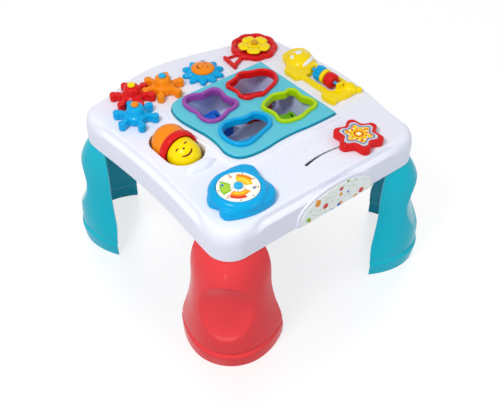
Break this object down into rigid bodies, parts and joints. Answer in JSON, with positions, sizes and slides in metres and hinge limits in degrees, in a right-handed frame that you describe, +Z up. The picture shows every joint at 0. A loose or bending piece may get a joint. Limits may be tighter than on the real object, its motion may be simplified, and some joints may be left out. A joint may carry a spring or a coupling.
{
  "type": "musical activity table",
  "caption": "Low square plastic play table with spinning gears, sun, flower, roller and beads, a lift-off shape sorter, a star slider and a press-down music button.",
  "frame": {"origin": "on the floor, under the middle of the table", "axes": "+X to the right and +Y to the back, seen from the side with the nameplate, +Z up"},
  "size_m": [0.468, 0.468, 0.2893],
  "materials": {
    "white_plastic": "glossy white moulded plastic",
    "teal_plastic": "glossy teal moulded plastic",
    "coral_plastic": "glossy coral red moulded plastic",
    "panel_plastic": "glossy light teal moulded plastic",
    "grey_plastic": "grey lavender moulded plastic",
    "blue_plastic": "glossy blue moulded plastic",
    "sky_plastic": "glossy sky blue moulded plastic",
    "red_plastic": "glossy red moulded plastic",
    "orange_plastic": "glossy orange moulded plastic",
    "yellow_plastic": "glossy yellow moulded plastic",
    "purple_plastic": "glossy purple moulded plastic",
    "violet_plastic": "glossy violet moulded plastic",
    "lime_plastic": "glossy lime green moulded plastic",
    "green_plastic": "glossy green moulded plastic",
    "amber_plastic": "glossy amber moulded plastic",
    "printed_plastic": "white plastic plate with a coloured print",
    "steel": "plain steel of screws, axles, spring and cells",
    "board_green": "green circuit board with its switch",
    "black_plastic": "black loudspeaker"
  },
  "bodies": {
    "root": {"table_top": "white_plastic", "underside_cover": "white_plastic", "battery_door": "white_plastic", "battery_cell_1": "steel", "battery_cell_2": "steel", "battery_cell_3": "steel", "loudspeaker": "black_plastic", "leg_back_right": "coral_plastic", "leg_back_left": "teal_plastic", "leg_front_left": "coral_plastic", "leg_front_right": "teal_plastic", "leg_screw_back_right": "steel", "leg_screw_back_left": "steel", "leg_screw_front_left": "steel", "leg_screw_front_right": "steel", "sorter_bin": "grey_plastic", "red_gear_screw": "steel", "blue_gear_screw": "steel", "orange_gear_screw": "steel", "sun_screw": "steel", "roller_axle": "steel", "tree_frame": "red_plastic", "flower_screw": "steel", "animal_frame": "yellow_plastic", "bead_axle": "sky_plastic", "music_housing": "blue_plastic", "return_spring": "steel", "circuit_board": "board_green", "nameplate": "printed_plastic"},
    "sorter_panel": {"sorter_panel": "panel_plastic", "rim_back_left": "purple_plastic", "rim_back_right": "red_plastic", "rim_front_right": "lime_plastic", "rim_front_left": "blue_plastic"},
    "block_back_right": {"block_back_right": "red_plastic"},
    "block_back_left": {"block_back_left": "violet_plastic"},
    "block_front_left": {"block_front_left": "sky_plastic"},
    "block_front_right": {"block_front_right": "green_plastic"},
    "red_gear": {"red_gear": "red_plastic", "red_gear_cap": "yellow_plastic"},
    "blue_gear": {"blue_gear": "blue_plastic", "blue_gear_cap": "orange_plastic"},
    "orange_gear": {"orange_gear": "orange_plastic", "orange_gear_cap": "sky_plastic"},
    "sun": {"sun_wheel": "blue_plastic", "sun_face": "orange_plastic"},
    "roller": {"roller_hood": "orange_plastic", "roller_band": "red_plastic", "roller_face": "yellow_plastic"},
    "flower": {"flower_spinner": "yellow_plastic", "flower_cap": "amber_plastic"},
    "blue_bead": {"blue_toothed_bead": "blue_plastic"},
    "yellow_bead": {"yellow_thin_bead": "yellow_plastic"},
    "red_bead": {"red_round_bead": "red_plastic"},
    "star": {"star_knob": "red_plastic", "star_picture": "printed_plastic", "slider_shoe": "grey_plastic"},
    "music_button": {"music_disc": "printed_plastic", "disc_hub": "sky_plastic"}
  },
  "joints": [
    {"name": "red_gear_spin", "type": "hinge", "parent": "root", "child": "red_gear", "pos_m": [-0.1145, 0.16, 0.256], "axis": [0, 0, 1], "continuous": true},
    {"name": "blue_gear_spin", "type": "hinge", "parent": "root", "child": "blue_gear", "pos_m": [-0.1397, 0.11055, 0.256], "axis": [0, 0, 1], "continuous": true},
    {"name": "orange_gear_spin", "type": "hinge", "parent": "root", "child": "orange_gear", "pos_m": [-0.05974, 0.15094, 0.256], "axis": [0, 0, 1], "continuous": true},
    {"name": "sun_spin", "type": "hinge", "parent": "root", "child": "sun", "pos_m": [0.022, 0.149, 0.256], "axis": [0, 0, 1], "continuous": true},
    {"name": "flower_spin", "type": "hinge", "parent": "root", "child": "flower", "pos_m": [0.137, 0.15, 0.256], "axis": [0, 0, 1], "continuous": true},
    {"name": "roller_spin", "type": "hinge", "parent": "root", "child": "roller", "pos_m": [-0.128, 0.014, 0.252], "axis": [0, 1, 0], "continuous": true},
    {"name": "blue_bead_spin", "type": "hinge", "parent": "root", "child": "blue_bead", "pos_m": [0.167, 0.008, 0.2705], "axis": [0, 1, 0], "continuous": true},
    {"name": "yellow_bead_spin", "type": "hinge", "parent": "root", "child": "yellow_bead", "pos_m": [0.167, -0.005, 0.2705], "axis": [0, 1, 0], "continuous": true},
    {"name": "red_bead_spin", "type": "hinge", "parent": "root", "child": "red_bead", "pos_m": [0.167, -0.0185, 0.2705], "axis": [0, 1, 0], "continuous": true},
    {"name": "star_slide", "type": "hinge", "parent": "root", "child": "star", "pos_m": [0.033, -0.297, 0.256], "axis": [0, 0, 1], "range_deg": [0, 36]},
    {"name": "music_press", "type": "slide", "parent": "root", "child": "music_button", "axis": [0, 0, -1], "range_m": [0, 0.0025], "stiffness_N_per_m": 300, "springref_m": -0.002, "deforming": ["return_spring"]},
    {"name": "sorter_panel_lift", "type": "slide", "parent": "root", "child": "sorter_panel", "axis": [0, 0, 1], "range_m": [0, 0.06]},
    {"name": "block_back_right_lift", "type": "slide", "parent": "root", "child": "block_back_right", "axis": [0, 0, 1], "range_m": [0, 0.066]},
    {"name": "block_back_left_lift", "type": "slide", "parent": "root", "child": "block_back_left", "axis": [0, 0, 1], "range_m": [0, 0.066]},
    {"name": "block_front_left_lift", "type": "slide", "parent": "root", "child": "block_front_left", "axis": [0, 0, 1], "range_m": [0, 0.066]},
    {"name": "block_front_right_lift", "type": "slide", "parent": "root", "child": "block_front_right", "axis": [0, 0, 1], "range_m": [0, 0.066]}
  ],
  "couplings": [
    {"joint": "blue_gear_spin", "follows": "red_gear_spin", "ratio": -1},
    {"joint": "orange_gear_spin", "follows": "red_gear_spin", "ratio": -1}
  ]
}
